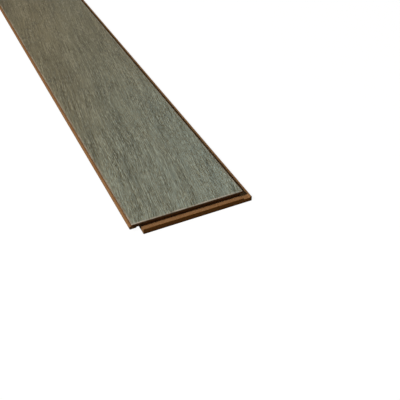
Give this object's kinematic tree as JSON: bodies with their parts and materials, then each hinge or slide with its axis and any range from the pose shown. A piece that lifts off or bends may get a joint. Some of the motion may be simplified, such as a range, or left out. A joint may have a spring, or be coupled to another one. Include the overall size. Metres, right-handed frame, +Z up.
{
  "type": "laminate floor plank",
  "caption": "Narrow thick laminate floor plank: grey wood-grain decor sheet on a brown fibreboard core, with tongue and groove click edges milled on the long sides and the ends",
  "frame": {"origin": "on the underside, below the middle of the decor face", "axes": "+X across the plank towards the long groove edge, +Y along it towards the end with the tongue, +Z up out of the decor face"},
  "size_m": [0.1375, 1.2222, 0.012],
  "materials": {
    "fibreboard": "milled fibreboard, matte",
    "decor": "printed grey wood grain under a satin seal"
  },
  "bodies": {
    "root": {"hdf_core": "fibreboard", "decor_layer": "decor"}
  },
  "joints": []
}
